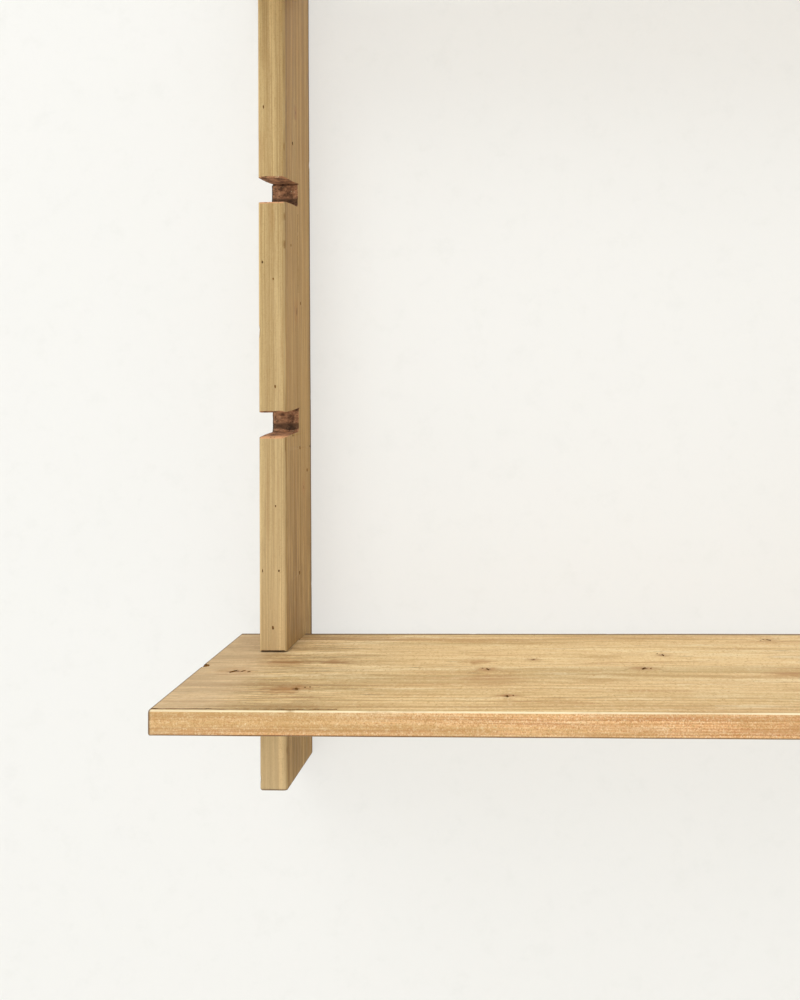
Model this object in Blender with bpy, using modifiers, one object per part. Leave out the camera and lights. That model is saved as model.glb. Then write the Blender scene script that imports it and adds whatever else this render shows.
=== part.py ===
"""Wall shelving unit: notched planks hang on keyhole plates and carry shelves lapped into them."""

import math

import bmesh
import bpy
from mathutils import Matrix

# Frame: X along the shelves, +Y towards the wall, which stands at Y = 0, Z up. All sizes are in metres.
FIT_GAP = 0.0003  # left between two pieces that touch
CUT_MARGIN = 0.010  # how far a cutter runs past the wood that it cuts

BAY_WIDTH = 1.000  # from upright to upright, middle to middle
UPRIGHT_SIDES = ("left", "centre", "right")
UPRIGHT_THICK = 0.035
UPRIGHT_DEPTH = 0.120
UPRIGHT_END = 0.158  # from the outermost notch's middle to the end of the plank
UPRIGHT_ARRIS = 0.0035

NOTCH_COUNT = 7
NOTCH_PITCH = 0.300
NOTCH_DEPTH = 0.057
NOTCH_PLAY = 0.001  # how much taller a notch is than a shelf
NOTCH_MOUTH = 0.0015  # chamfer where a notch opens in the front edge
SHELF_NOTCHES = {"lower": 0, "middle": NOTCH_COUNT // 2, "upper": NOTCH_COUNT - 1}  # counted from the bottom

SHELF_THICK = 0.027
SHELF_OVERHANG = 0.203  # in front of the uprights
SHELF_TAIL = 0.087  # behind the uprights' front edge
SHELF_END = 0.0525  # past the outer face of an outer upright
SHELF_ARRIS = 0.0025
SLOT_PLAY = 0.001  # how much wider a shelf's slot is than an upright
ARRIS_STEPS = 3

PLATE_LENGTH = 0.060
PLATE_WIDTH = 0.020
PLATE_THICK = 0.0025
KEYHOLE_ENTRY = 0.0105  # passes a wall screw's head
KEYHOLE_SLOT = 0.0055  # passes its shank
KEYHOLE_RISE = 0.014  # from the entry's middle up to the slot's end
POCKET_DEPTH = 0.014  # room for the wall screw's head, from the back edge
POCKET_MARGIN = 0.0015
ROUND_STEPS = 8  # in half a circle

SCREW_SPACING = 0.046
SCREW_HEAD = 0.007
SCREW_SHANK = 0.0035
SCREW_LENGTH = 0.022
SCREW_TIP = 0.005
SCREW_GAP = 0.0004  # round a screw
SCREW_STEPS = 16

NOTCH_HEIGHT = SHELF_THICK + NOTCH_PLAY
NOTCH_SPAN = (NOTCH_COUNT - 1) * NOTCH_PITCH
UPRIGHT_LENGTH = NOTCH_SPAN + 2 * UPRIGHT_END
UPRIGHT_COUNT = len(UPRIGHT_SIDES)
UNIT_SPAN = (UPRIGHT_COUNT - 1) * BAY_WIDTH
SHELF_LENGTH = UNIT_SPAN + UPRIGHT_THICK + 2 * SHELF_END
SHELF_DEPTH = SHELF_OVERHANG + SHELF_TAIL
SLOT_DEPTH = SHELF_TAIL - NOTCH_DEPTH + FIT_GAP
MORTISE_DEPTH = PLATE_THICK + 2 * FIT_GAP
PLATE_HEIGHT = (NOTCH_SPAN - NOTCH_PITCH) / 2  # midway between the two outermost notches
PLATE_HEIGHTS = {"lower": -PLATE_HEIGHT, "upper": PLATE_HEIGHT}
PLATE_RADIUS = PLATE_WIDTH / 2
PLATE_STRAIGHT = PLATE_LENGTH / 2 - PLATE_RADIUS  # from the plate's middle to the start of its round end
SLOT_WIDTH = UPRIGHT_THICK + SLOT_PLAY
SCREW_FACE = -2 * FIT_GAP  # a screw's head lies just under its plate's face

# An outline's (u, v) and its thickness direction, turned into the unit's X, Y and Z.
FROM_THE_SIDE = Matrix(((0, 0, 1, 0), (1, 0, 0, 0), (0, 1, 0, 0), (0, 0, 0, 1)))
FROM_THE_FRONT = Matrix(((1, 0, 0, 0), (0, 0, -1, 0), (0, 1, 0, 0), (0, 0, 0, 1)))


def clear_scene():
    for old in list(bpy.data.objects):
        bpy.data.objects.remove(old, do_unlink=True)


def new_collection(name):
    collection = bpy.data.collections.new(name)
    bpy.context.scene.collection.children.link(collection)
    return collection


def new_material(name, colour, roughness, metallic):
    material = bpy.data.materials.new(name)
    material.use_nodes = True
    shader = material.node_tree.nodes["Principled BSDF"]
    shader.inputs["Base Color"].default_value = (*colour, 1.0)
    shader.inputs["Roughness"].default_value = roughness
    shader.inputs["Metallic"].default_value = metallic
    return material


def arc(centre, radius, start, end, steps):
    """Points from one angle to another, in degrees, both ends included."""
    angles = [math.radians(start + (end - start) * i / steps) for i in range(steps + 1)]
    return [(centre[0] + radius * math.cos(a), centre[1] + radius * math.sin(a)) for a in angles]


def round_ended(half_length, radius):
    """A slot's outline, upright, with round ends."""
    top = arc((0, half_length), radius, 0, 180, ROUND_STEPS)
    return top + arc((0, -half_length), radius, 180, 360, ROUND_STEPS)


def keyhole():
    """A round entry with a narrower slot that rises from it."""
    low = -KEYHOLE_RISE / 2
    entry, slot = KEYHOLE_ENTRY / 2, KEYHOLE_SLOT / 2
    shoulder = math.degrees(math.acos(slot / entry))
    below = arc((0, low), entry, 180 - shoulder, 360 + shoulder, 2 * ROUND_STEPS)
    return below + arc((0, low + KEYHOLE_RISE), slot, 0, 180, ROUND_STEPS)


def notch():
    """A notch seen from the side: u runs from the upright's front edge inwards and v up from its middle."""
    half = NOTCH_HEIGHT / 2
    flare = NOTCH_MOUTH + CUT_MARGIN
    back = [(NOTCH_DEPTH, -half), (NOTCH_DEPTH, half)]
    high = [(NOTCH_MOUTH, half), (-CUT_MARGIN, half + flare)]
    low = [(-CUT_MARGIN, -half - flare), (NOTCH_MOUTH, -half)]
    return back + high + low


def extruded(name, outlines, thickness, turn):
    """A mesh from flat outlines, the first one round the body and the others round its holes."""
    curve = bpy.data.curves.new(name, "CURVE")
    curve.dimensions = "2D"
    curve.fill_mode = "BOTH"
    curve.extrude = thickness / 2
    for points in outlines:
        spline = curve.splines.new("POLY")
        spline.points.add(len(points) - 1)
        for place, (u, v) in zip(spline.points, points):
            place.co = (u, v, 0.0, 1.0)
        spline.use_cyclic_u = True
    holder = bpy.data.objects.new(name, curve)
    bpy.context.scene.collection.objects.link(holder)
    mesh = bpy.data.meshes.new_from_object(holder.evaluated_get(bpy.context.evaluated_depsgraph_get()))
    mesh.name = name
    bpy.data.objects.remove(holder, do_unlink=True)
    mesh.transform(turn)
    shape = bmesh.new()
    shape.from_mesh(mesh)
    bmesh.ops.remove_doubles(shape, verts=shape.verts, dist=0.00001)
    bmesh.ops.recalc_face_normals(shape, faces=shape.faces)
    shape.to_mesh(mesh)
    shape.free()
    return mesh


def block(name, low, high):
    """A box mesh between two corners."""
    shape = bmesh.new()
    bmesh.ops.create_cube(shape, size=1.0)
    for vertex in shape.verts:
        vertex.co = [a + (b - a) * (c + 0.5) for a, b, c in zip(low, high, vertex.co)]
    mesh = bpy.data.meshes.new(name)
    shape.to_mesh(mesh)
    shape.free()
    return mesh


def profile(name, points):
    """An open line of (radius, height) points, from top to bottom, for a turned body."""
    mesh = bpy.data.meshes.new(name)
    edges = [(i, i + 1) for i in range(len(points) - 1)]
    mesh.from_pydata([(radius, 0.0, height) for radius, height in points], edges, [])
    return mesh


def screw_points(gap, lead):
    """Half of a countersunk screw. The gap widens it and the lead carries its head upwards, for a cutter."""
    head, shank = SCREW_HEAD / 2 + gap, SCREW_SHANK / 2 + gap
    cone = -(SCREW_HEAD - SCREW_SHANK) / 2
    points = [(0.0, lead), (head, lead)]
    if lead > 0:
        points.append((head, 0.0))
    points += [(shank, cone), (shank, SCREW_TIP - SCREW_LENGTH), (0.0, -SCREW_LENGTH - gap)]
    return points


def add_object(name, mesh, collection, place=(0, 0, 0), parent=None):
    thing = bpy.data.objects.new(name, mesh)
    collection.objects.link(thing)
    thing.location = place
    thing.parent = parent
    return thing


def add_piece(name, mesh, material, place, parent):
    if not mesh.materials:
        mesh.materials.append(material)
    return add_object(name, mesh, unit, place, parent)


def add_cutter(name, mesh, place):
    cutter = add_object(name, mesh, cutters, place)
    cutter.hide_render = True
    cutter.display_type = "WIRE"
    return cutter


def repeat(thing, count, step):
    array = thing.modifiers.new("repeat", "ARRAY")
    array.count = count
    array.use_relative_offset = False
    array.use_constant_offset = True
    array.constant_offset_displace = step


def round_edges(thing, radius):
    bevel = thing.modifiers.new("arris", "BEVEL")
    bevel.width = radius
    bevel.segments = ARRIS_STEPS


def cut(thing, cutter):
    boolean = thing.modifiers.new(cutter.name, "BOOLEAN")
    boolean.operation = "DIFFERENCE"
    boolean.solver = "EXACT"
    boolean.object = cutter


def turn_round(thing):
    """Spins a profile into a solid whose axis, its head end first, points to the wall."""
    screw = thing.modifiers.new("turned", "SCREW")
    screw.steps = SCREW_STEPS
    screw.render_steps = SCREW_STEPS
    screw.use_merge_vertices = True
    screw.merge_threshold = 0.00001
    thing.rotation_euler = (-math.pi / 2, 0, 0)


def make_notch_cutter():
    reach = UNIT_SPAN + UPRIGHT_THICK + 2 * CUT_MARGIN
    mesh = extruded("notch", [notch()], reach, FROM_THE_SIDE)
    cutter = add_cutter("notch_cutter", mesh, (0, -UPRIGHT_DEPTH, -NOTCH_SPAN / 2))
    repeat(cutter, NOTCH_COUNT, (0, 0, NOTCH_PITCH))
    return cutter


def make_slot_cutter():
    reach = UPRIGHT_LENGTH / 2 + CUT_MARGIN
    low = (-SLOT_WIDTH / 2, -SLOT_DEPTH, -reach)
    mesh = block("slot", low, (SLOT_WIDTH / 2, CUT_MARGIN, reach))
    cutter = add_cutter("slot_cutter", mesh, (-UNIT_SPAN / 2, SHELF_TAIL - UPRIGHT_DEPTH, 0))
    repeat(cutter, UPRIGHT_COUNT, (BAY_WIDTH, 0, 0))
    return cutter


def make_recess_cutter(name, outline, depth):
    """Cuts a recess of that depth in each upright's back edge, at each plate."""
    mesh = extruded(name, [outline], depth + CUT_MARGIN, FROM_THE_FRONT)
    middle = (CUT_MARGIN - depth) / 2
    cutter = add_cutter(name + "_cutter", mesh, (-UNIT_SPAN / 2, middle, -PLATE_HEIGHT))
    repeat(cutter, len(PLATE_HEIGHTS), (0, 0, 2 * PLATE_HEIGHT))
    repeat(cutter, UPRIGHT_COUNT, (BAY_WIDTH, 0, 0))
    return cutter


def make_pilot_cutter():
    mesh = profile("pilot", screw_points(SCREW_GAP, CUT_MARGIN))
    lowest = -PLATE_HEIGHT - SCREW_SPACING / 2
    cutter = add_cutter("pilot_cutter", mesh, (-UNIT_SPAN / 2, SCREW_FACE, lowest))
    turn_round(cutter)
    # The cutter lies on its side, so its own -Y is the unit's Z.
    repeat(cutter, 2, (0, -SCREW_SPACING, 0))
    repeat(cutter, len(PLATE_HEIGHTS), (0, -2 * PLATE_HEIGHT, 0))
    repeat(cutter, UPRIGHT_COUNT, (BAY_WIDTH, 0, 0))
    return cutter


clear_scene()
unit = new_collection("wall_shelving_unit")
cutters = new_collection("cutters")
upright_pine = new_material("upright_pine", (0.55, 0.39, 0.16), 0.6, 0.0)
shelf_pine = new_material("shelf_pine", (0.60, 0.44, 0.21), 0.6, 0.0)
zinc_steel = new_material("zinc_steel", (0.62, 0.62, 0.60), 0.35, 1.0)

notch_cutter = make_notch_cutter()
slot_cutter = make_slot_cutter()
mortise_cutter = make_recess_cutter(
    "mortise", round_ended(PLATE_STRAIGHT, PLATE_RADIUS + FIT_GAP), MORTISE_DEPTH
)
pocket_cutter = make_recess_cutter(
    "pocket", round_ended(KEYHOLE_RISE / 2, KEYHOLE_ENTRY / 2 + POCKET_MARGIN), POCKET_DEPTH
)
pilot_cutter = make_pilot_cutter()

upright_blank = block(
    "upright_blank",
    (-UPRIGHT_THICK / 2, -UPRIGHT_DEPTH, -UPRIGHT_LENGTH / 2),
    (UPRIGHT_THICK / 2, 0.0, UPRIGHT_LENGTH / 2),
)
shelf_blank = block(
    "shelf_blank", (-SHELF_LENGTH / 2, -SHELF_DEPTH, 0.0), (SHELF_LENGTH / 2, 0.0, SHELF_THICK)
)
plate_blank = extruded(
    "plate_blank", [round_ended(PLATE_STRAIGHT, PLATE_RADIUS), keyhole()], PLATE_THICK, FROM_THE_FRONT
)
screw_profile = profile("screw_profile", screw_points(0.0, 0.0))

wall_plane = add_object("wall_plane", None, unit)
for number, side in enumerate(UPRIGHT_SIDES):
    place = (number * BAY_WIDTH - UNIT_SPAN / 2, 0, 0)
    upright = add_piece("upright_" + side, upright_blank, upright_pine, place, wall_plane)
    round_edges(upright, UPRIGHT_ARRIS)
    cut(upright, notch_cutter)
    cut(upright, mortise_cutter)
    cut(upright, pocket_cutter)
    cut(upright, pilot_cutter)
    for level, z in PLATE_HEIGHTS.items():
        middle = -FIT_GAP - PLATE_THICK / 2
        plate = add_piece(f"plate_{side}_{level}", plate_blank, zinc_steel, (0, middle, z), upright)
        cut(plate, pilot_cutter)
        for end, height in (("a", -SCREW_SPACING / 2), ("b", SCREW_SPACING / 2)):
            name = f"screw_{side}_{level}_{end}"
            screw = add_piece(name, screw_profile, zinc_steel, (0, SCREW_FACE, z + height), upright)
            turn_round(screw)

for level, number in SHELF_NOTCHES.items():
    floor = number * NOTCH_PITCH - NOTCH_SPAN / 2 - NOTCH_HEIGHT / 2
    seat = (0, SHELF_TAIL - UPRIGHT_DEPTH, floor + FIT_GAP)
    shelf = add_piece("shelf_" + level, shelf_blank, shelf_pine, seat, wall_plane)
    round_edges(shelf, SHELF_ARRIS)
    cut(shelf, slot_cutter)
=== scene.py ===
"""Dressed scene of a wall shelving unit: notched pine uprights, lapped shelves and zinc hanger plates."""

import math
import random
from collections import namedtuple

import bmesh
import bpy
from mathutils import Matrix, Vector, noise


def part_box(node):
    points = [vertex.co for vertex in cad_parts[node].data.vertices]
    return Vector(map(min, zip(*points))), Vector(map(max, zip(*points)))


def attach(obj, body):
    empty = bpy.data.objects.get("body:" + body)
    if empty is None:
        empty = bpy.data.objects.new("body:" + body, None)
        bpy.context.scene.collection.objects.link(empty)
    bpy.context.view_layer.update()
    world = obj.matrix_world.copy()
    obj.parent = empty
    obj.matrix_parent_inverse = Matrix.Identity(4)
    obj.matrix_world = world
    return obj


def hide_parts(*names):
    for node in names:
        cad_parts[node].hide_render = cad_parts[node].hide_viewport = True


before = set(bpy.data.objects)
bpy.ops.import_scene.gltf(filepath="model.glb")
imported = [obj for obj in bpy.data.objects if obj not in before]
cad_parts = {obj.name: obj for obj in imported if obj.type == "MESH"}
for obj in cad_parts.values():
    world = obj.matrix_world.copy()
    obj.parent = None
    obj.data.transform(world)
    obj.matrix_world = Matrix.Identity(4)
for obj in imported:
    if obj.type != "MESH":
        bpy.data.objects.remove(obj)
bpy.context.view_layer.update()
scene = bpy.context.scene
scene.view_settings.view_transform = "Standard"

# Sizes that the part's source gives, in metres. X runs along the shelves, +Y into the wall, Z up.
NOTCH_COUNT = 7
NOTCH_PITCH = 0.300
NOTCH_HEIGHT = 0.028
NOTCH_DEPTH = 0.057
SHELF_ROWS = (0, 3, 6)  # notches that hold a shelf, counted from the bottom
BAY_WIDTH = 1.000
SLOT_WIDTH = 0.036
SLOT_DEPTH = 0.0303
UPRIGHT_ARRIS = 0.0035
SHELF_ARRIS = 0.0025
PLATE_HEIGHT = 0.750
MORTISE_LENGTH = 0.0606
MORTISE_WIDTH = 0.0206
MORTISE_DEPTH = 0.0031
POCKET_LENGTH = 0.0275
POCKET_WIDTH = 0.0135
POCKET_DEPTH = 0.014
SCREW_SPACING = 0.046
SCREW_SHANK = 0.0035
SCREW_TIP = 0.005
PILOT_WIDTH = 0.0043
PILOT_DEPTH = 0.0230

# How the boards are worn, in metres.
RING_STEP = 0.006  # between a board's cross-sections
ARC_STEPS = 4  # in a rounded arris
ARRIS_REST = 0.002  # flat strip that keeps an arris's shading off the face
ARRIS_WEAR = 0.35  # how much an arris's radius wanders, as a share of it
ARRIS_NICK = 3.0  # how much a nick widens it, where the noise rises over the level
NICK_LEVEL = 0.48
NOTCH_LIP = 0.0020
NOTCH_CORNER = 0.0040
NOTCH_FALL = 0.0028  # how far an empty notch's floor is worn down at its mouth
NOTCH_RISE = 0.0026  # how far its ceiling climbs to the saw nick
NOTCH_ROUGH = 0.0015  # how uneven its walls are
SAW_NICK = 0.0045  # how far the saw ran past a notch's back wall
CUT_MARGIN = 0.004
RING_WIDTH = 0.0066  # of a year's growth
RING_WANDER = 0.045  # how far a ring strays along the board
RING_BULGE = 0.006  # how far it swerves round a knot

# Numbers of the materials that cutters leave on a board. Its own wood is 0.
CUT_FACE = 1
PIT_FACE = 2

# Marks on the boards in the photograph, in millimetres.
# Pits in the left upright's front: height and place to the left.
FRONT_PITS = ((-49, 0), (-194, 10), (-394, 12), (-416, -2), (-553, -4), (-704, -4), (-785, -8), (-785, 13),
              (-856, 0))
# Pits in its side: height and depth from the wall.
SIDE_PITS = ((-234, 85), (-370, 94), (-443, 51), (-617, 89), (-638, 8), (-636, 57), (-669, 23), (-800, 61))
# Dark streaks in its side: height, depth from the wall and radius.
SIDE_STREAKS = ((-455, 68, 5), (-690, 40, 3), (-190, 70, 3))
# A split in its side: the heights of its ends, and its depth from the wall.
SIDE_SPLIT = (-324, -430, 62)
# Stains and knots in the lower shelf: place along it and across it, and radius.
SHELF_STAINS = ((-974, -165, 24), (-911, -158, 14), (-945, -258, 18), (-715, -222, 26), (-738, -154, 14),
                (-370, -195, 24))
SHELF_KNOTS = ((-1024, -195, 7), (-931, -255, 5), (-724, -184, 4), (-695, -276, 4), (-672, -147, 3),
               (-541, -180, 5), (-514, -128, 4), (-373, -63, 4))
MM = 0.001

# More marks, in metres: widths and depths of the splits, and the chip in the lower shelf's left end.
SIDE_SPLIT_WIDTH = 0.0030
SIDE_SPLIT_DEPTH = 0.001
SHELF_SPLIT_ENDS = (0.001, 0.200)  # from the board's left end
SHELF_SPLIT_PLACE = 0.0050  # from its front edge
SHELF_SPLIT_WIDTH = 0.0034
SHELF_SPLIT_DEPTH = 0.002
CHIP_PLACE = (0.003, 0.005)  # from the end, and behind the board's middle
CHIP_RADII = (0.006, 0.006, 0.003)

CAMERA_PLACE = (-0.622, -1.319, -0.532)
CAMERA_YAW = 2.95  # degrees, as are the next two
CAMERA_PITCH = -2.19
CAMERA_ROLL = -0.78
CAMERA_LENS = 34.45
CAMERA_SHIFT = (-0.12, -0.17)

WALL_GAP = 0.0006
FLOOR_HEIGHT = -1.50
ROOM = 7.0
WALL_GLOW = 0.64  # share of the wall's brightness that shadows don't touch

Look = namedtuple("Look", (
    "early",  # colour of the pale early wood
    "late",  # of the dark late wood
    "streak",  # of streaks along the grain
    "stain",  # of broad stained bands
    "front",  # of the front edge
    "front_late",  # of its lines and specks
    "arris",  # of worn wood, and of the painted highlight on the front arris
    "end",  # of end grain
    "pale",  # of a paler stretch towards the board's first end
    "pale_end",  # where along the board that begins, and where it is or would be full
    "pale_front",  # whether it lies on the front edge, or on all other faces
    "aged",  # where a darker stretch begins and where it is full, on all faces but the front edge; on the shelves it is a painted shade near the upright's foot
    "worn",  # height where the pale front arrises begin and where they are full: partly wear, partly a painted highlight
    "worn_strip",  # width of that pale strip
    "rustic",  # how rough and speckled the board is, up to 1
))


def colour(red, green, blue):
    """A display colour, 0 to 255, as linear light."""
    levels = [channel / 255 for channel in (red, green, blue)]
    linear = [v / 12.92 if v < 0.04045 else ((v + 0.055) / 1.055) ** 2.4 for v in levels]
    return (*linear, 1.0)


BACKDROP = colour(247, 246, 242)
WALL_TONE = colour(239, 238, 233)
FLOOR_TONE = colour(236, 235, 231)
SKY_TINT = (0.975, 0.99, 1.0, 1.0)
SKY_STRENGTH = 0.80


class Paint:
    """One node material in the making, with a short call for each kind of node it needs."""

    def __init__(self, name):
        self.material = bpy.data.materials.new(name)
        self.material.use_nodes = True
        self.tree = self.material.node_tree
        self.shader = self.tree.nodes["Principled BSDF"]

    def put(self, socket, value):
        if isinstance(value, bpy.types.NodeSocket):
            self.tree.links.new(value, socket)
        else:
            socket.default_value = value

    def add(self, kind, inputs, output=0, **settings):
        node = self.tree.nodes.new("ShaderNode" + kind)
        for key, value in settings.items():
            setattr(node, key, value)
        for key, value in inputs.items():
            self.put(node.inputs[key], value)
        return node.outputs[output]

    def place(self):
        return self.add("TexCoord", {}, "Object")

    def facing(self):
        return self.add("TexCoord", {}, "Normal")

    def split(self, vector):
        node = self.tree.nodes.new("ShaderNodeSeparateXYZ")
        self.tree.links.new(vector, node.inputs[0])
        return node.outputs

    def math(self, operation, *values):
        return self.add("Math", dict(enumerate(values)), operation=operation)

    def scaled(self, vector, scale, offset=(0, 0, 0)):
        return self.add("VectorMath", {0: vector, 1: scale, 2: offset}, operation="MULTIPLY_ADD")

    def noise(self, vector, scale, offset=(0, 0, 0), detail=2.0, roughness=0.5):
        inputs = {"Vector": self.scaled(vector, scale, offset), "Scale": 1.0}
        return self.add("TexNoise", {**inputs, "Detail": detail, "Roughness": roughness})

    def fade(self, value, start, end):
        """0 where the value is at start and 1 where it is at end, smoothly."""
        low, high, first, last = (start, end, 0.0, 1.0) if start < end else (end, start, 1.0, 0.0)
        inputs = {"Value": value, "From Min": low, "From Max": high, "To Min": first, "To Max": last}
        return self.add("MapRange", inputs, interpolation_type="SMOOTHSTEP")

    def blend(self, amount, under, over, mode="MIX"):
        return self.add("Mix", {0: amount, 6: under, 7: over}, 2, data_type="RGBA", blend_type=mode)

    def over(self, body, mask, amount, tint):
        """The body with a tint laid over it where the mask is 1."""
        return self.blend(self.math("MULTIPLY", mask, amount), body, tint)

    def bump(self, height, depth, strength=1.0):
        return self.add("Bump", {"Height": height, "Distance": depth, "Strength": strength})

    def finish(self, base, roughness, normal, specular=0.35):
        self.put(self.shader.inputs["Base Color"], base)
        self.put(self.shader.inputs["Roughness"], roughness)
        self.put(self.shader.inputs["Normal"], normal)
        self.put(self.shader.inputs["Specular IOR Level"], specular)
        return self.material


DARK_GRAIN = colour(110, 75, 36)
# Dark brown for dirt along the ends, for a dark line along the lower front arris, and for a painted shade
# along the back edge, where a board meets the wall.
DIRT_AND_SHADE = colour(96, 70, 48)
STAIN = colour(176, 128, 74)
KNOT_HALO = colour(172, 122, 70)
DARK_STRETCH = colour(218, 217, 216)  # what the darker stretch is multiplied by: on the shelves a painted shade near the upright's foot
SHELF_LOOK = Look(
    early=colour(231, 201, 147), late=colour(186, 146, 88), streak=colour(190, 142, 90),
    stain=colour(182, 155, 100), front=colour(234, 183, 126), front_late=colour(184, 124, 74),
    arris=colour(250, 236, 196), end=colour(176, 138, 92), pale=colour(208, 180, 144),
    pale_end=(-0.90, -0.97), pale_front=False, aged=(-0.72, -0.88),
    worn=(0.0, 0.005), worn_strip=0.0021, rustic=1.0,
)
# On the uprights the front colour is far paler than the side faces' early wood: the front is painted as
# lit and the sides as shaded, as by light from the left.
UPRIGHT_LOOK = Look(
    early=colour(188, 154, 99), late=colour(144, 108, 56), streak=colour(158, 112, 58),
    stain=colour(142, 118, 74), front=colour(230, 200, 142), front_late=colour(174, 140, 86),
    arris=colour(222, 194, 142), end=colour(152, 116, 74), pale=colour(222, 196, 156),
    pale_end=(-0.15, -1.50), pale_front=True, aged=(-0.45, -0.90),
    worn=(-0.030, -0.020), worn_strip=0.0026, rustic=0.45,
)


class Pine(Paint):
    """The wood of a board along local X, as a solid texture: a colour that is laid over step by step."""

    def __init__(self, name, look, half, seed):
        super().__init__(name)
        self.look = look
        self.half = half
        self.seed = seed
        self.spot = self.place()
        self.x, self.y, self.z = self.split(self.spot)
        self.nx, self.ny, self.nz = self.split(self.facing())
        self.streaks = self.grain((1.1, 42, 42), detail=5.0, roughness=0.65)
        self.fibre = self.grain((18, 360, 360), detail=4.0, roughness=0.75)
        self.mottle = self.grain((6.5, 52, 52), detail=5.0, roughness=0.7)
        self.tint = self.grain((0.9, 22, 22), 1, detail=3.0)
        self.body = look.early

    def grain(self, scale, salt=0, detail=2.0, roughness=0.5):
        """Noise that lies otherwise on each board and for each salt."""
        offset = (self.seed * 3.7 + salt * 17, self.seed * 1.9 + salt * 31, self.seed * 2.3 + salt * 53)
        return self.noise(self.spot, scale, offset, detail, roughness)

    def lay(self, mask, amount, tint):
        """Lays a tint over the board where the mask is 1."""
        self.body = self.over(self.body, mask, amount, tint)

    def gap(self, half, place):
        """Distance to the nearer of two opposite faces."""
        return self.math("MAXIMUM", self.math("SUBTRACT", half, self.math("ABSOLUTE", place)), 0.0)

    def knot_distance(self, knots):
        """Distance to the nearest knot, in knot radii, shorter across the grain than along it."""
        nearest = 10.0
        for along, across, radius in knots:
            scale = (0.55 / radius, 1 / radius, 0.0)
            offset = (-0.55 * along / radius, -across / radius, 0.0)
            spot = self.scaled(self.spot, scale, offset)
            reach = self.add("VectorMath", {0: spot}, "Value", operation="LENGTH")
            nearest = self.math("MINIMUM", nearest, reach)
        warp = self.grain((110, 150, 150), detail=3.0)
        return self.math("MULTIPLY_ADD", warp, 1.4, self.math("SUBTRACT", nearest, 0.5))

    def rings(self, pith, near):
        """Growth rings round a wandering pith: 0 in the pale early wood and 1 in the dark late wood."""
        across = self.math("POWER", self.math("SUBTRACT", self.y, pith[0]), 2.0)
        through = self.math("POWER", self.math("SUBTRACT", self.z, pith[1]), 2.0)
        radius = self.math("SQRT", self.math("ADD", across, through))
        radius = self.math("MULTIPLY_ADD", self.grain((1.3, 4.0, 4.0), detail=3.0), RING_WANDER, radius)
        radius = self.math("MULTIPLY_ADD", self.fade(near, 4.0, 0.6), RING_BULGE, radius)
        years = self.add("TexNoise", {"W": self.math("MULTIPLY", radius, 70.0)}, noise_dimensions="1D")
        turns = self.math("MULTIPLY_ADD", years, 1.3, self.math("MULTIPLY", radius, 1 / RING_WIDTH))
        phase = self.math("FRACT", turns)
        return self.math("MULTIPLY", self.fade(phase, 0.35, 0.86), self.fade(phase, 1.0, 0.90))

    def lay_rings(self, ring):
        """Rings, plainest near the front edge of a rustic board. Gives how strong they are."""
        from_front = self.math("ADD", self.y, self.half[1])
        near_front = self.math("MULTIPLY", self.fade(from_front, 0.08, 0.02), self.look.rustic)
        plain = self.math("MAXIMUM", self.fade(self.tint, 0.30, 0.75), near_front)
        strong = self.math("MULTIPLY", ring, plain)
        self.lay(strong, 0.85, self.look.late)
        return strong

    def lay_front(self, strong):
        """The front edge's own warmer colour, with rings, fine lines, specks and bands; on the uprights it
        is also painted far paler than the side faces, as lit by light from the left.
        """
        look = self.look
        lines = self.grain((3, 620, 620), 4, detail=3.0, roughness=0.6)
        dust = self.grain((620, 620, 620), 7)
        bands = self.grain((2.2, 230, 230), 6, detail=3.0, roughness=0.6)
        front = self.over(look.front, strong, 0.35, look.front_late)
        front = self.over(front, self.fade(lines, 0.50, 0.64), 0.85, look.front_late)
        front = self.over(front, self.fade(lines, 0.46, 0.32), 0.35, look.arris)
        front = self.over(front, self.fade(dust, 0.52, 0.70), 0.85 * look.rustic, look.front_late)
        front = self.over(front, self.fade(dust, 0.47, 0.28), 0.62 * look.rustic, look.arris)
        front = self.over(front, self.fade(bands, 0.53, 0.70), 0.55, look.front_late)
        self.lay(self.fade(self.ny, -0.6, -0.9), 1.0, front)

    def lay_figure(self):
        """Streaks, stains, blotches, dashes, fibres and long cords along the grain, and a fine speckle."""
        look = self.look
        rough_pores = look.rustic ** 2
        plain = 1 - look.rustic
        blotch = self.grain((3.2, 18, 18), detail=4.0, roughness=0.6)
        dashes = self.grain((4.5, 80, 80), 2, detail=3.0, roughness=0.6)
        ticks = self.grain((16, 130, 130), 3)
        cords = self.grain((1.4, 120, 120), 8, detail=3.0, roughness=0.65)
        speck = self.grain((190, 620, 620), detail=3.0, roughness=0.65)
        pores = self.grain((330, 230, 330), 5, detail=3.0, roughness=0.7)
        self.lay(self.fade(self.streaks, 0.52, 0.74), 0.60, look.streak)
        self.lay(self.fade(self.tint, 0.54, 0.70), 0.50, look.stain)
        self.lay(self.fade(blotch, 0.54, 0.74), 0.35, look.late)
        self.lay(self.fade(self.streaks, 0.44, 0.28), 0.35, look.arris)
        self.lay(self.fade(self.mottle, 0.50, 0.70), 0.60 * look.rustic, look.late)
        self.lay(self.fade(self.mottle, 0.47, 0.30), 0.45 * look.rustic, look.arris)
        self.lay(self.fade(dashes, 0.58, 0.68), 0.60 * look.rustic, look.streak)
        self.lay(self.fade(ticks, 0.68, 0.78), 0.50 * look.rustic, DARK_GRAIN)
        self.lay(self.fade(self.fibre, 0.48, 0.74), 0.38, look.late)
        self.lay(self.fade(self.fibre, 0.44, 0.24), 0.25, look.arris)
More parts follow.
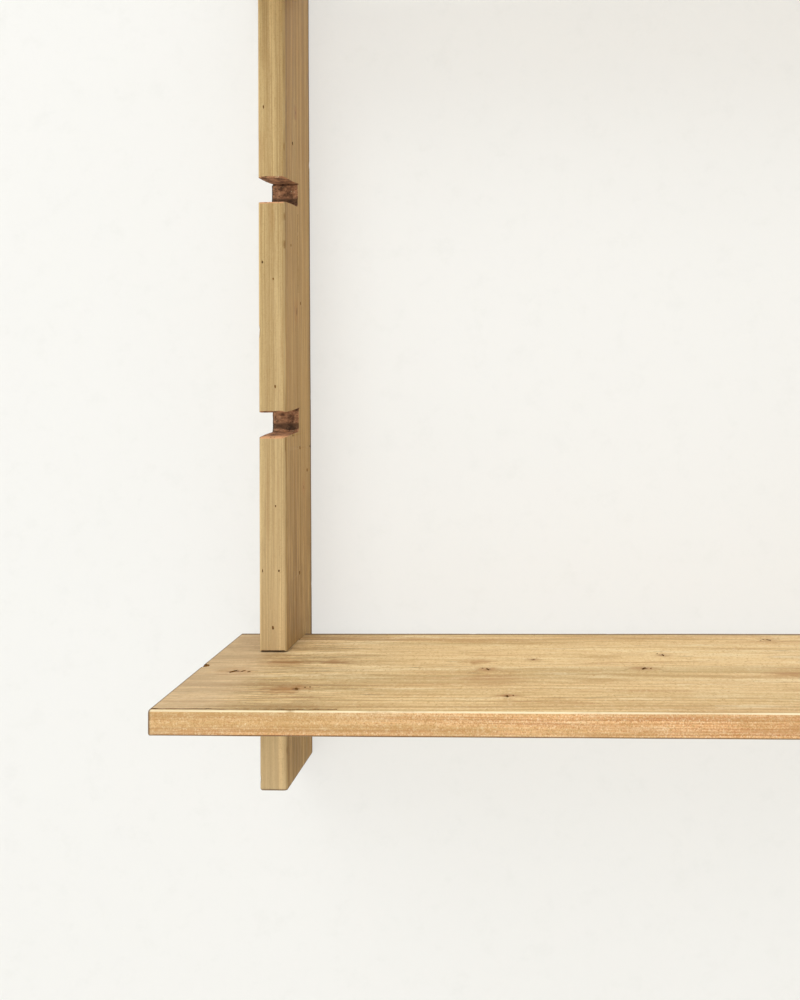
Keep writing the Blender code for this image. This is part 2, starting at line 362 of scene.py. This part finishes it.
        # The front edge shows the dark cords less than the other faces do.
        side = self.math("MULTIPLY_ADD", self.fade(self.ny, -0.9, -0.6), 0.6, 0.4)
        self.lay(self.math("MULTIPLY", self.fade(cords, 0.49, 0.63), side), plain, look.late)
        self.lay(self.fade(cords, 0.47, 0.32), 0.40 * plain, look.arris)
        self.lay(self.fade(speck, 0.54, 0.74), 0.10, look.arris)
        self.lay(self.fade(speck, 0.46, 0.26), 0.55, look.front_late)
        self.lay(self.fade(pores, 0.54, 0.72), 0.30 * rough_pores, look.arris)
        self.lay(self.fade(pores, 0.46, 0.28), 0.75 * rough_pores, look.late)

    def lay_stains(self, stains):
        """Brown patches that the grain breaks up."""
        patch = self.fade(self.knot_distance(stains), 1.3, 0.4)
        self.lay(self.math("MULTIPLY", patch, self.fade(self.streaks, 0.34, 0.54)), 0.85, STAIN)

    def lay_ends(self):
        """Darker end grain, and towards the board's first end a darker stretch and a paler one. On the
        shelves the darker stretch is a painted shade near the upright's foot.
        """
        look = self.look
        # On the shelves the darker stretch is a painted shade near the upright's foot; on the uprights it
        # makes the sides darker towards the bottom.
        along = self.math("MULTIPLY_ADD", self.mottle, 0.12, self.x)
        aged = self.math("MULTIPLY", self.fade(along, *look.aged), self.fade(self.ny, -0.9, -0.6))
        coarse = self.fade(self.math("ADD", self.mottle, self.fibre), 0.82, 1.12)
        self.body = self.blend(self.math("MULTIPLY", aged, coarse), self.body, DARK_STRETCH, "MULTIPLY")
        # On the uprights the pale stretch lies on the front face and grows towards the bottom: a painted
        # light, standing in for light from below.
        front = (-0.6, -0.9) if look.pale_front else (-0.9, -0.6)
        pale = self.math("MULTIPLY", self.fade(along, *look.pale_end), self.fade(self.ny, *front))
        self.lay(pale, 0.5, look.pale)
        self.lay(self.fade(self.math("ABSOLUTE", self.nx), 0.5, 0.9), 0.8, look.end)

    def lay_knots(self, near):
        """Brown round each knot, and a dark heart in it."""
        halo = self.math("MULTIPLY", self.fade(near, 3.0, 0.8), self.fade(self.mottle, 0.30, 0.60))
        self.lay(halo, 0.7, KNOT_HALO)
        self.lay(self.fade(near, 0.85, 0.45), 0.75, DARK_GRAIN)

    def lay_edges(self):
        """A pale front arris, partly wear and partly a painted highlight; dirt along the ends; a dark line
        along the lower front arris; and a painted shade along the back edge, where the board meets the
        wall.
        """
        look = self.look
        # The pale front arris: partly wear, partly a painted highlight where the rounded edge catches the
        # light.
        edge = self.math("ADD", self.gap(self.half[1], self.y), self.gap(self.half[2], self.z))
        strip = self.fade(edge, look.worn_strip, 0.7 * look.worn_strip)
        worn = self.math("MULTIPLY", strip, self.fade(self.mottle, 0.30, 0.50))
        forwards = self.math("MULTIPLY", self.fade(self.y, 0.0, -0.02), self.fade(self.z, *look.worn))
        self.lay(self.math("MULTIPLY", worn, forwards), 0.95, look.arris)

        end = self.fade(self.gap(self.half[0], self.x), 0.0036, 0.0012)
        beside = self.fade(self.math("ABSOLUTE", self.nx), 0.9, 0.5)
        self.lay(self.math("MULTIPLY", end, beside), 0.85, DIRT_AND_SHADE)
        # Painted shade: a dark strip along the back edge, where the board meets the wall.
        back = self.fade(self.math("SUBTRACT", self.half[1], self.y), 0.0100, 0.0048)
        self.lay(self.math("MULTIPLY", back, self.fade(self.ny, 0.8, 0.4)), 0.85, DIRT_AND_SHADE)
        under = self.fade(self.math("ADD", self.half[2], self.z), 0.0026, 0.0012)
        under = self.math("MULTIPLY", under, self.fade(self.nz, -0.9, -0.6))
        under = self.math("MULTIPLY", under, self.fade(self.mottle, 0.25, 0.50))
        self.lay(under, 0.9 * look.rustic, DIRT_AND_SHADE)

    def wood(self, pith, knots, stains=()):
        """The finished material, with a roughness and a relief that follow the grain."""
        near = self.knot_distance(knots)
        ring = self.rings(pith, near)
        self.lay_front(self.lay_rings(ring))
        self.lay_figure()
        if stains:
            self.lay_stains(stains)
        self.lay_ends()
        self.lay_knots(near)
        self.lay_edges()
        gloss = self.math("MULTIPLY_ADD", self.fibre, 0.12, self.math("MULTIPLY_ADD", ring, -0.10, 0.66))
        relief = self.math("MULTIPLY_ADD", self.fibre, 0.5, self.math("MULTIPLY", ring, 0.5))
        relief = self.math("MULTIPLY_ADD", self.streaks, 0.4, relief)
        return self.finish(self.body, gloss, self.bump(relief, 0.0005, 0.5))


def cut_wood(name, seed):
    """Sawn and torn wood inside a notch: brown and darker further in, with a painted light on the floor's
    mouth and a painted shade on the lips round a shelf.
    """
    paint = Paint(name)
    place = paint.place()
    shift = (seed * 2.1, seed * 5.3, seed * 3.3)
    x, y, z = paint.split(place)
    upwards = paint.split(paint.facing())[0]
    patch = paint.noise(place, (130, 130, 110), shift, detail=4.0, roughness=0.65)
    flecks = paint.noise(place, (420, 420, 300), shift, detail=2.0)
    saw = paint.noise(place, (900, 60, 120), shift, detail=2.0)
    # Paler on the floor near the mouth: a painted light where light falls into the notch.
    mouth = paint.fade(paint.math("MULTIPLY_ADD", patch, 0.014, y), -0.040, -0.052)
    mouth = paint.math("MULTIPLY", mouth, paint.fade(upwards, -0.4, 0.3))
    body = paint.blend(paint.fade(patch, 0.38, 0.66), colour(182, 132, 96), colour(100, 70, 50))
    body = paint.blend(mouth, body, colour(212, 160, 116))
    # The back wall's lower half is the darkest, with pale flecks in it.
    from_middle = paint.math("WRAP", x, NOTCH_PITCH / 2, -NOTCH_PITCH / 2)
    height = paint.math("MULTIPLY_ADD", patch, 0.010, from_middle)
    band = paint.math("MULTIPLY", paint.fade(height, 0.004, 0.000), paint.fade(height, -0.008, -0.005))
    body = paint.over(body, band, 0.7, colour(44, 34, 24))
    body = paint.over(body, paint.fade(flecks, 0.66, 0.74), 0.8, colour(214, 190, 150))
    body = paint.over(body, paint.fade(flecks, 0.40, 0.28), 0.7, colour(40, 28, 20))
    # The edge of the wall on the left is dark too.
    body = paint.over(body, paint.fade(z, 0.0150, 0.0168), 0.75, colour(46, 38, 30))
    # The lips of the notches that hold a shelf are dark: a painted shade in the narrow gaps round the
    # shelf.
    from_shelf = paint.math("ABSOLUTE", paint.math("WRAP", x, 1.5 * NOTCH_PITCH, -1.5 * NOTCH_PITCH))
    lip = paint.math("MULTIPLY", paint.fade(from_shelf, 0.05, 0.03), paint.fade(y, -0.050, -0.056))
    body = paint.over(body, lip, 0.85, colour(46, 32, 22))
    relief = paint.math("MULTIPLY_ADD", saw, 0.4, patch)
    rough = paint.math("MULTIPLY_ADD", patch, 0.12, 0.78)
    return paint.finish(body, rough, paint.bump(relief, 0.0012, 0.8), specular=0.2)


def dark_pit(name, seed):
    """Inside of a pin knot, nail hole or split: dark brown, and darker in places."""
    paint = Paint(name)
    grime = paint.noise(paint.place(), (400, 400, 400), (seed, seed, seed), detail=3.0)
    body = paint.blend(paint.fade(grime, 0.35, 0.65), colour(66, 44, 20), colour(136, 94, 46))
    rough = paint.math("MULTIPLY_ADD", grime, 0.15, 0.80)
    return paint.finish(body, rough, paint.bump(grime, 0.0006, 0.6), specular=0.15)


def zinc():
    """Zinc-plated steel: faint spangle, rolling lines and dulled patches."""
    paint = Paint("zinc_plated")
    place = paint.place()
    crystals = paint.scaled(place, (420, 420, 420))
    spangle = paint.add("TexVoronoi", {"Vector": crystals, "Scale": 1.0}, "Color")
    grey = paint.add("SeparateColor", {0: spangle})
    lines = paint.noise(place, (1500, 400, 60), detail=2.0)
    dull = paint.noise(place, (90, 90, 90), detail=3.0)
    body = paint.blend(grey, colour(188, 190, 190), colour(214, 215, 212))
    body = paint.over(body, paint.fade(dull, 0.50, 0.72), 0.6, colour(160, 160, 154))
    rough = paint.math("MULTIPLY_ADD", dull, 0.30, 0.22)
    paint.shader.inputs["Metallic"].default_value = 1.0
    relief = paint.math("MULTIPLY_ADD", lines, 0.3, dull)
    return paint.finish(body, rough, paint.bump(relief, 0.0002, 0.4), specular=0.5)


def plaster(name, tone):
    """Pale painted plaster for the wall and the floor: faintly uneven, kept pale where it is looked at,
    fading into the backdrop far away, and see-through from behind."""
    paint = Paint(name)
    tree = paint.tree
    place = paint.place()
    uneven = paint.noise(place, (2.2, 2.2, 2.2), detail=5.0, roughness=0.6)
    grit = paint.noise(place, (90, 90, 90), detail=2.0)
    blotch = paint.noise(place, (26, 26, 26), detail=5.0, roughness=0.7)
    body = paint.over(tone, paint.fade(uneven, 0.45, 0.75), 0.25, colour(226, 226, 219))
    body = paint.over(body, paint.fade(blotch, 0.50, 0.72), 0.35, colour(216, 217, 209))
    relief = paint.math("MULTIPLY_ADD", grit, 0.3, uneven)
    rough = paint.math("MULTIPLY_ADD", grit, 0.1, 0.8)
    paint.finish(body, rough, paint.bump(relief, 0.002, 0.3), specular=0.1)

    glow = paint.add("Emission", {"Color": BACKDROP})
    distance = paint.add("VectorMath", {0: place}, "Value", operation="LENGTH")
    far = paint.math("MULTIPLY_ADD", paint.fade(distance, 2.2, 5.5), 1 - WALL_GLOW, WALL_GLOW)
    front = mixed(tree, paint.math("MULTIPLY", straight_rays(tree), far), paint.shader.outputs[0], glow)
    behind = paint.add("NewGeometry", {}, "Backfacing")
    whole = mixed(tree, behind, front, paint.add("BsdfTransparent", {}))
    tree.links.new(whole, tree.nodes["Material Output"].inputs["Surface"])
    return paint.material


def lofted(name, rings, material_index=0):
    """A closed mesh through rings of points, with flat ends."""
    count = len(rings[0])
    points = [point for ring in rings for point in ring]
    faces = [tuple(range(count)), tuple(range(len(points) - count, len(points)))]
    for start in range(0, len(points) - count, count):
        for i in range(count):
            j = (i + 1) % count
            faces.append((start + i, start + j, start + count + j, start + count + i))
    mesh = bpy.data.meshes.new(name)
    mesh.from_pydata(points, [], faces)
    shape = bmesh.new()
    shape.from_mesh(mesh)
    bmesh.ops.recalc_face_normals(shape, faces=shape.faces)
    for face in shape.faces:
        face.material_index = material_index
    shape.to_mesh(mesh)
    shape.free()
    return mesh


def board_section(x, inset, size, arris, seed):
    """A board's cross-section at x: a rectangle whose arrises are worn and nicked unevenly."""
    points = []
    for corner, (side_y, side_z) in enumerate(((-1, -1), (1, -1), (1, 1), (-1, 1))):
        wear = 1 + ARRIS_WEAR * noise.noise((x * 9, corner * 7.3, seed))
        nick = ARRIS_NICK * max(0.0, noise.noise((x * 55, corner * 3.1 + 40, seed)) - NICK_LEVEL)
        radius = arris * (wear + nick)
        middle = (side_y * (size[1] / 2 - radius), side_z * (size[2] / 2 - radius))
        first = math.pi + corner * math.pi / 2
        arc = []
        for step in range(ARC_STEPS + 1):
            angle = first + step * math.pi / 2 / ARC_STEPS
            arc.append((middle[0] + radius * math.cos(angle), middle[1] + radius * math.sin(angle)))
        before = (arc[0][0], arc[0][1] - side_z * ARRIS_REST)
        after = (arc[-1][0] - side_y * ARRIS_REST, arc[-1][1])
        if corner % 2:
            before = (arc[0][0] - side_y * ARRIS_REST, arc[0][1])
            after = (arc[-1][0], arc[-1][1] - side_z * ARRIS_REST)
        points += [before, *arc, after]
    return [(x, shrink(y, inset), shrink(z, inset)) for y, z in points]


def shrink(value, inset):
    return math.copysign(max(abs(value) - inset, 0.0), value)


def board_mesh(name, size, arris, seed):
    """A plank along local X, centred on its origin, with worn arrises and eased ends."""
    half = size[0] / 2
    eased = [(0.0, 0.6 * arris), (0.2 * arris, 0.2 * arris), (0.6 * arris, 0.0)]
    stations = [(along - half, inset) for along, inset in eased]
    straight = size[0] - 2 * eased[-1][0]
    count = round(straight / RING_STEP)
    stations += [(straight * (i / count - 0.5), 0.0) for i in range(1, count)]
    stations += [(half - along, inset) for along, inset in reversed(eased)]
    return lofted(name, [board_section(x, inset, size, arris, seed) for x, inset in stations])


def notch_outline(rough):
    """Points round a notch, from its floor's lip on: depth from the front edge, height, unevenness."""
    half = NOTCH_HEIGHT / 2
    lip = [(-CUT_MARGIN, half + NOTCH_LIP + CUT_MARGIN, 0), (0, half + NOTCH_LIP, 0.2),
           (0.3 * NOTCH_LIP, half + 0.3 * NOTCH_LIP, 0.2), (NOTCH_LIP, half, 0.2)]
    run = [NOTCH_DEPTH * part for part in (0.15, 0.28, 0.41, 0.54, 0.67, 0.80)]
    fall = NOTCH_FALL * rough
    rise = NOTCH_RISE * rough
    bottom = [(depth, -height - fall, uneven) for depth, height, uneven in lip]
    bottom += [(depth, -half - fall * (1 - depth / NOTCH_DEPTH) ** 2, 0.5) for depth in run]
    if rough:
        bottom += [(NOTCH_DEPTH - 0.7 * NOTCH_CORNER, 0.06 * NOTCH_CORNER - half, 0.4)]
        bottom += [(NOTCH_DEPTH - 0.25 * NOTCH_CORNER, 0.30 * NOTCH_CORNER - half, 0.4)]
        bottom += [(NOTCH_DEPTH, NOTCH_CORNER - half, 0.6)]
        back = [(NOTCH_DEPTH, half * part, 1.0) for part in (-0.4, -0.1, 0.2, 0.5, 0.75)]
        back += [(NOTCH_DEPTH, half + rise - 0.0022, 0), (NOTCH_DEPTH + SAW_NICK, half + rise - 0.0008, 0)]
        back += [(NOTCH_DEPTH + SAW_NICK, half + rise + 0.0006, 0)]
    else:
        back = [(NOTCH_DEPTH, -half, 0), (NOTCH_DEPTH, half, 0)]
    top = [(depth, half + rise * (depth / NOTCH_DEPTH) ** 2, 0.2) for depth in reversed(run)]
    top += [(depth, height, uneven) for depth, height, uneven in reversed(lip)]
    return bottom + back + top


def notch_cutter(row, size, seed):
    """The wood that is cut out of an upright's front edge, rougher where no shelf covers the notch."""
    rough = row not in SHELF_ROWS
    height = (row - (NOTCH_COUNT - 1) / 2) * NOTCH_PITCH
    half_thick = size[2] / 2
    rings = []
    steps = 16
    for step in range(steps + 1):
        z = (2 * step / steps - 1) * (half_thick + 0.002)
        flare = 0.6 * max(0.0, abs(z) - half_thick + 0.0012)
        ring = []
        for number, (depth, up, uneven) in enumerate(notch_outline(rough)):
            spot = Vector((number * 0.9, z * 170, seed + row * 5.1))
            amount = NOTCH_ROUGH * uneven * rough
            depth += flare * (depth > NOTCH_DEPTH / 2) + amount * (0.4 + noise.noise(spot))
            up += math.copysign(flare, up) + 0.5 * amount * noise.noise(spot + Vector((0, 0, 90)))
            ring.append((height + up, depth - size[1] / 2, z))
        rings.append(ring)
    return lofted("notch_cutter", rings, CUT_FACE)


def box_cutter(low, high):
    """A straight-sided cutter between two corners."""
    corners = [(low[0], low[1]), (high[0], low[1]), (high[0], high[1]), (low[0], high[1])]
    rings = [[(x, y, z) for x, y in corners] for z in (low[2], high[2])]
    return lofted("box_cutter", rings, CUT_FACE)


def recess_cutter(height, length, width, depth, size):
    """A round-ended recess in an upright's back edge."""
    radius = width / 2
    outline = []
    for end in (1, -1):
        for step in range(9):
            angle = math.pi * (step / 8 - 0.5)
            along = end * (length / 2 - radius + radius * math.cos(angle))
            outline.append((height + along, end * radius * math.sin(angle)))
    back = size[1] / 2
    rings = [[(x, y, z) for x, z in outline] for y in (back - depth, back + CUT_MARGIN)]
    return lofted("recess_cutter", rings, CUT_FACE)


def bore_cutter(height, width, depth, size):
    """A round hole in an upright's back edge."""
    back = size[1] / 2
    steps = 12
    turns = [2 * math.pi * step / steps for step in range(steps)]
    circle = [(height + width / 2 * math.cos(turn), width / 2 * math.sin(turn)) for turn in turns]
    rings = [[(x, y, z) for x, z in circle] for y in (back - depth, back + CUT_MARGIN)]
    return lofted("bore_cutter", rings, CUT_FACE)


def pit_cutter(centre, radii, seed, turn=0.0):
    """A small ragged hollow, such as a pin knot, a nail hole, a split or a chip, turned about local Z."""
    rotation = Matrix.Rotation(math.radians(turn), 3, "Z")
    shape = bmesh.new()
    bmesh.ops.create_icosphere(shape, subdivisions=2, radius=1.0)
    for vertex in shape.verts:
        swell = 1 + 0.35 * noise.noise(vertex.co * 1.8 + Vector((seed, 0, 0)))
        vertex.co = Vector(centre) + rotation @ Vector([r * swell * v for r, v in zip(radii, vertex.co)])
    for face in shape.faces:
        face.material_index = PIT_FACE
    mesh = bpy.data.meshes.new("pit_cutter")
    shape.to_mesh(mesh)
    shape.free()
    return mesh


def split_cutter(start, end, width, depth, seed, face=1):
    """A thin ragged split along the grain, open at the top, or at the bottom where face is -1."""
    rings = []
    steps = 60
    for step in range(steps + 1):
        part = step / steps
        middle = Vector(start).lerp(Vector(end), part)
        middle.y += 0.0012 * noise.noise((part * 14, seed, 0))
        wide = width * (0.25 + max(0.0, 0.5 + 0.9 * noise.noise((part * 22, seed, 9)))) / 2
        deep = depth * (0.5 + 0.4 * noise.noise((part * 17, seed, 4)))
        points = ((-wide, 0.001), (wide, 0.001), (0.2 * wide, -deep), (-0.2 * wide, -deep))
        rings.append([(middle.x, middle.y + across, middle.z + face * up) for across, up in points])
    return lofted("split_cutter", rings, PIT_FACE)


def joined(meshes):
    """Several separate meshes as one object, to cut with."""
    shape = bmesh.new()
    for mesh in meshes:
        shape.from_mesh(mesh)
    whole = bpy.data.meshes.new("cutter")
    shape.to_mesh(whole)
    shape.free()
    cutter = bpy.data.objects.new("cutter", whole)
    scene.collection.objects.link(cutter)
    return cutter


def carve(thing, meshes):
    """Takes the meshes out of a board. The faces they leave keep the cutter's material number."""
    cutter = joined(meshes)
    boolean = thing.modifiers.new("cut", "BOOLEAN")
    boolean.operation = "DIFFERENCE"
    boolean.solver = "EXACT"
    boolean.material_mode = "INDEX"
    boolean.object = cutter
    depsgraph = bpy.context.evaluated_depsgraph_get()
    mesh = bpy.data.meshes.new_from_object(thing.evaluated_get(depsgraph))
    thing.modifiers.clear()
    thing.data = mesh
    bpy.data.objects.remove(cutter, do_unlink=True)


def finish_piece(thing, node, body):
    """Shades a piece, and puts it in the place of its node."""
    mesh = thing.data
    mesh.name = thing.name
    mesh.shade_smooth()
    mesh.set_sharp_from_angle(angle=math.radians(35))
    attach(thing, body)
    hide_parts(node)


def new_board(name, size, arris, seed, materials):
    mesh = board_mesh(name, size, arris, seed)
    for material in materials:
        mesh.materials.append(material)
    thing = bpy.data.objects.new(name, mesh)
    scene.collection.objects.link(thing)
    return thing


def scattered(seed, count, half, low, high):
    """Seeded places (along, across, radius) for knots on a board that the photograph doesn't show."""
    dice = random.Random(seed)
    return [
        (dice.uniform(-half[0], half[0]), dice.uniform(-half[1], half[1]), dice.uniform(low, high))
        for _ in range(count)
    ]


def upright_pits(number, half, seed):
    """Pits in an upright's front and side faces: as photographed on the left one, seeded on the others."""
    front = [(height * MM, left * MM) for height, left in FRONT_PITS]
    side = [(height * MM, half[1] - depth * MM) for height, depth in SIDE_PITS]
    dice = random.Random(seed)
    if number:
        front = [(dice.uniform(-1, 1), dice.uniform(-0.013, 0.013)) for _ in range(7)]
        side = [(dice.uniform(-1, 1), dice.uniform(-0.050, 0.050)) for _ in range(6)]
    pits = []
    for height, left in front:
        radii = (dice.uniform(1.5, 2.6) * MM, 0.8 * MM, dice.uniform(0.6, 1.2) * MM)
        pits.append(pit_cutter((height, -half[1], left), radii, height * 31))
    for height, across in side:
        radii = (dice.uniform(1.8, 3.0) * MM, dice.uniform(1.6, 2.4) * MM, 0.8 * MM)
        pits.append(pit_cutter((height, across, -half[2]), radii, height * 17))
    return pits


def knot_pits(knots, top, seed):
    """Hearts of the knots in a shelf's top: a slanting hollow each, and smaller ones beside most."""
    dice = random.Random(seed)
    pits = []
    for along, across, radius in knots:
        turn = dice.uniform(-50, 50)
        radii = (dice.uniform(0.25, 0.40) * radius, dice.uniform(0.8, 1.1) * radius, 0.0010)
        pits.append(pit_cutter((along, across, top), radii, along * 40, turn))
        way = dice.choice((-1, 1))
        for step in range(dice.randint(0, 2)):
            beside = along + way * (1.6 + 1.1 * step) * radius
            spot = (beside, across + dice.uniform(-1.5, 1.5) * radius, top)
            radii = (dice.uniform(0.15, 0.30) * radius, dice.uniform(0.3, 0.6) * radius, 0.0008)
            pits.append(pit_cutter(spot, radii, along * 40 + step, turn))
    return pits


def make_upright(number, side):
    node = "upright_" + side
    low, high = (Vector(corner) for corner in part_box(node))
    size = ((high - low).z, (high - low).y, (high - low).x)
    half = [length / 2 for length in size]
    seed = 11.0 + 7 * number
    knots = scattered(seed, 4, half, 0.003, 0.006)
    if number == 0:
        knots = [(x * MM, half[1] - depth * MM, radius * MM) for x, depth, radius in SIDE_STREAKS]
    pith = (0.060, 0.100)
    materials = [
        Pine(f"pine_{node}", UPRIGHT_LOOK, half, seed).wood(pith, knots),
        cut_wood(f"cut_{node}", seed),
        dark_pit(f"pit_{node}", seed),
    ]
    thing = new_board(f"plank_{side}", size, UPRIGHT_ARRIS, seed, materials)
    carve(thing, [notch_cutter(row, size, seed) for row in range(NOTCH_COUNT)])
    heights = (-PLATE_HEIGHT, PLATE_HEIGHT)
    carve(thing, [recess_cutter(h, MORTISE_LENGTH, MORTISE_WIDTH, MORTISE_DEPTH, size) for h in heights])
    carve(thing, [recess_cutter(h, POCKET_LENGTH, POCKET_WIDTH, POCKET_DEPTH, size) for h in heights])
    screws = [h + way * SCREW_SPACING / 2 for h in heights for way in (-1, 1)]
    carve(thing, [bore_cutter(h, PILOT_WIDTH, PILOT_DEPTH, size) for h in screws])
    carve(thing, upright_pits(number, half, seed))
    if number == 0:
        top, bottom, depth = (length * MM for length in SIDE_SPLIT)
        start, end = ((height, half[1] - depth, -half[2]) for height in (top, bottom))
        carve(thing, [split_cutter(start, end, SIDE_SPLIT_WIDTH, SIDE_SPLIT_DEPTH, seed, -1)])
    # The plank's length turns upright: local X becomes Z, and local Z points to the left.
    thing.matrix_world = Matrix.Translation((low + high) / 2) @ Matrix.Rotation(-math.pi / 2, 4, "Y")
    finish_piece(thing, node, "wall_frame")


def make_shelf(number, level):
    node = "shelf_" + level
    low, high = (Vector(corner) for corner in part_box(node))
    size = tuple(high - low)
    half = [length / 2 for length in size]
    middle = (low + high) / 2
    seed = 3.0 + 5 * number
    knots = scattered(seed, 9, half, 0.003, 0.006)
    stains = scattered(seed + 1, 5, half, 0.012, 0.026)
    if number == 0:
        knots = [(x * MM, y * MM - middle.y, radius * MM) for x, y, radius in SHELF_KNOTS]
        stains = [(x * MM, y * MM - middle.y, radius * MM) for x, y, radius in SHELF_STAINS]
    pith = (0.040, -0.110)
    materials = [
        Pine(f"pine_{node}", SHELF_LOOK, half, seed).wood(pith, knots, stains),
        cut_wood(f"cut_{node}", seed),
        dark_pit(f"pit_{node}", seed),
    ]
    thing = new_board(f"board_{level}", size, SHELF_ARRIS, seed, materials)
    slots = []
    for side in (-1, 0, 1):
        left = side * BAY_WIDTH - SLOT_WIDTH / 2
        first_corner = (left, half[1] - SLOT_DEPTH, -half[2] - CUT_MARGIN)
        last_corner = (left + SLOT_WIDTH, half[1] + CUT_MARGIN, half[2] + CUT_MARGIN)
        slots.append(box_cutter(first_corner, last_corner))
    carve(thing, slots)
    carve(thing, knot_pits(knots, half[2], seed))
    if number == 0:
        chip = pit_cutter((CHIP_PLACE[0] - half[0], CHIP_PLACE[1], half[2]), CHIP_RADII, 2.0)
        start, end = ((x - half[0], SHELF_SPLIT_PLACE - half[1], half[2]) for x in SHELF_SPLIT_ENDS)
        split = split_cutter(start, end, SHELF_SPLIT_WIDTH, SHELF_SPLIT_DEPTH, seed)
        carve(thing, [chip, split])
    thing.location = middle
    finish_piece(thing, node, level + "_shelf")


def cross_outline(reach, width):
    """Corners of a plus sign, in order round it."""
    corners = []
    for x, z in ((1, 0), (0, 1), (-1, 0), (0, -1)):
        corners.append((x * reach + z * width / 2, z * reach - x * width / 2))
        corners.append((x * reach - z * width / 2, z * reach + x * width / 2))
        corners.append(((x - z) * width / 2, (z + x) * width / 2))
    return corners


def make_screw(node, material):
    """A countersunk screw with a cross recess in its head, which lies towards the wall."""
    low, high = (Vector(corner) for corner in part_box(node))
    head = (high.x - low.x) / 2
    shank = SCREW_SHANK / 2
    length = high.y - low.y
    edge = 0.0002
    profile = [(0, head - edge), (edge, head), (edge + head - shank, shank), (length - SCREW_TIP, shank)]
    profile += [(length - 2 * edge, 2 * edge), (length, edge)]
    steps = 24
    turns = [2 * math.pi * step / steps for step in range(steps)]
    rings = [[(r * math.cos(t), -depth, r * math.sin(t)) for t in turns] for depth, r in profile]
    mesh = lofted(node, rings)
    mesh.materials.append(material)
    thing = bpy.data.objects.new("fastener_" + node, mesh)
    scene.collection.objects.link(thing)
    tapers = ((-CUT_MARGIN, 1.0), (0.0, 1.0), (0.0014, 0.55))
    recess = [
        [(x, -depth, z) for x, z in cross_outline(0.56 * head * taper, 0.26 * head * taper)]
        for depth, taper in tapers
    ]
    carve(thing, [lofted("recess", recess)])
    thing.location = ((low.x + high.x) / 2, high.y, (low.z + high.z) / 2)
    finish_piece(thing, node, "wall_frame")


def make_stage():
    """A pale wall right behind the unit, which can't be seen from behind, and a pale floor."""
    low, high = FLOOR_HEIGHT, ROOM
    wall = [(x, WALL_GAP, z) for x, z in ((-ROOM, low), (ROOM, low), (ROOM, high), (-ROOM, high))]
    floor = [(x, y, low) for x, y in ((-ROOM, -ROOM), (ROOM, -ROOM), (ROOM, ROOM), (-ROOM, ROOM))]
    for name, corners, tone in (("wall", wall, WALL_TONE), ("floor", floor, FLOOR_TONE)):
        mesh = bpy.data.meshes.new(name)
        mesh.from_pydata(corners, [], [(0, 1, 2, 3)])
        mesh.materials.append(plaster(name + "_plaster", tone))
        thing = bpy.data.objects.new(name, mesh)
        thing.visible_shadow = name == "floor"
        scene.collection.objects.link(thing)


def straight_rays(tree):
    """1 for rays that come from the camera, by way of a mirror or glass too."""
    path = tree.nodes.new("ShaderNodeLightPath")
    total = path.outputs["Is Camera Ray"]
    for kind in ("Is Glossy Ray", "Is Transmission Ray"):
        either = tree.nodes.new("ShaderNodeMath")
        either.operation = "MAXIMUM"
        tree.links.new(total, either.inputs[0])
        tree.links.new(path.outputs[kind], either.inputs[1])
        total = either.outputs[0]
    return total


def mixed(tree, factor, first, second):
    mix = tree.nodes.new("ShaderNodeMixShader")
    tree.links.new(factor, mix.inputs[0])
    tree.links.new(first, mix.inputs[1])
    tree.links.new(second, mix.inputs[2])
    return mix.outputs[0]


def add_lamp(name, place, target, size, power):
    lamp = bpy.data.lights.new(name, "AREA")
    lamp.shape = "DISK"
    lamp.size = size
    lamp.energy = power
    thing = bpy.data.objects.new(name, lamp)
    thing.location = place
    thing.rotation_euler = (Vector(target) - Vector(place)).to_track_quat("-Z", "Y").to_euler()
    scene.collection.objects.link(thing)


def make_light():
    """A soft lamp from the upper left in front, weaker ones from the front and behind, and a pale sky."""
    add_lamp("key", place=(-2.6, -3.6, 2.4), target=(-0.4, 0.0, -0.5), size=2.6, power=70)
    add_lamp("fill", place=(-1.5, -5.0, -0.4), target=(-0.5, 0.0, -0.8), size=2.5, power=34)
    add_lamp("rear", place=(2.0, 4.0, 2.5), target=(0.0, 0.0, 0.0), size=3.0, power=60)
    world = bpy.data.worlds.new("sky")
    scene.world = world
    world.use_nodes = True
    tree = world.node_tree
    sky = tree.nodes["Background"]
    sky.inputs["Color"].default_value = SKY_TINT
    sky.inputs["Strength"].default_value = SKY_STRENGTH
    seen = tree.nodes.new("ShaderNodeBackground")
    seen.inputs["Color"].default_value = BACKDROP
    whole = mixed(tree, straight_rays(tree), sky.outputs[0], seen.outputs[0])
    tree.links.new(whole, tree.nodes["World Output"].inputs["Surface"])


def make_camera():
    data = bpy.data.cameras.new("camera")
    data.lens = CAMERA_LENS
    data.shift_x, data.shift_y = CAMERA_SHIFT
    camera = bpy.data.objects.new("camera", data)
    turn = Matrix.Rotation(math.radians(CAMERA_YAW), 4, "Z")
    turn = turn @ Matrix.Rotation(math.radians(90 - CAMERA_PITCH), 4, "X")
    turn = turn @ Matrix.Rotation(math.radians(CAMERA_ROLL), 4, "Z")
    camera.matrix_world = Matrix.Translation(CAMERA_PLACE) @ turn
    scene.collection.objects.link(camera)
    scene.camera = camera


make_camera()
make_light()
make_stage()
for number, side in enumerate(("left", "centre", "right")):
    make_upright(number, side)
for number, level in enumerate(("lower", "middle", "upper")):
    make_shelf(number, level)
zinc_material = zinc()
for name, node in list(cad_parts.items()):
    if name.startswith("plate_"):
        node.data.materials[0] = zinc_material
    if name.startswith("screw_"):
        make_screw(name, zinc_material)
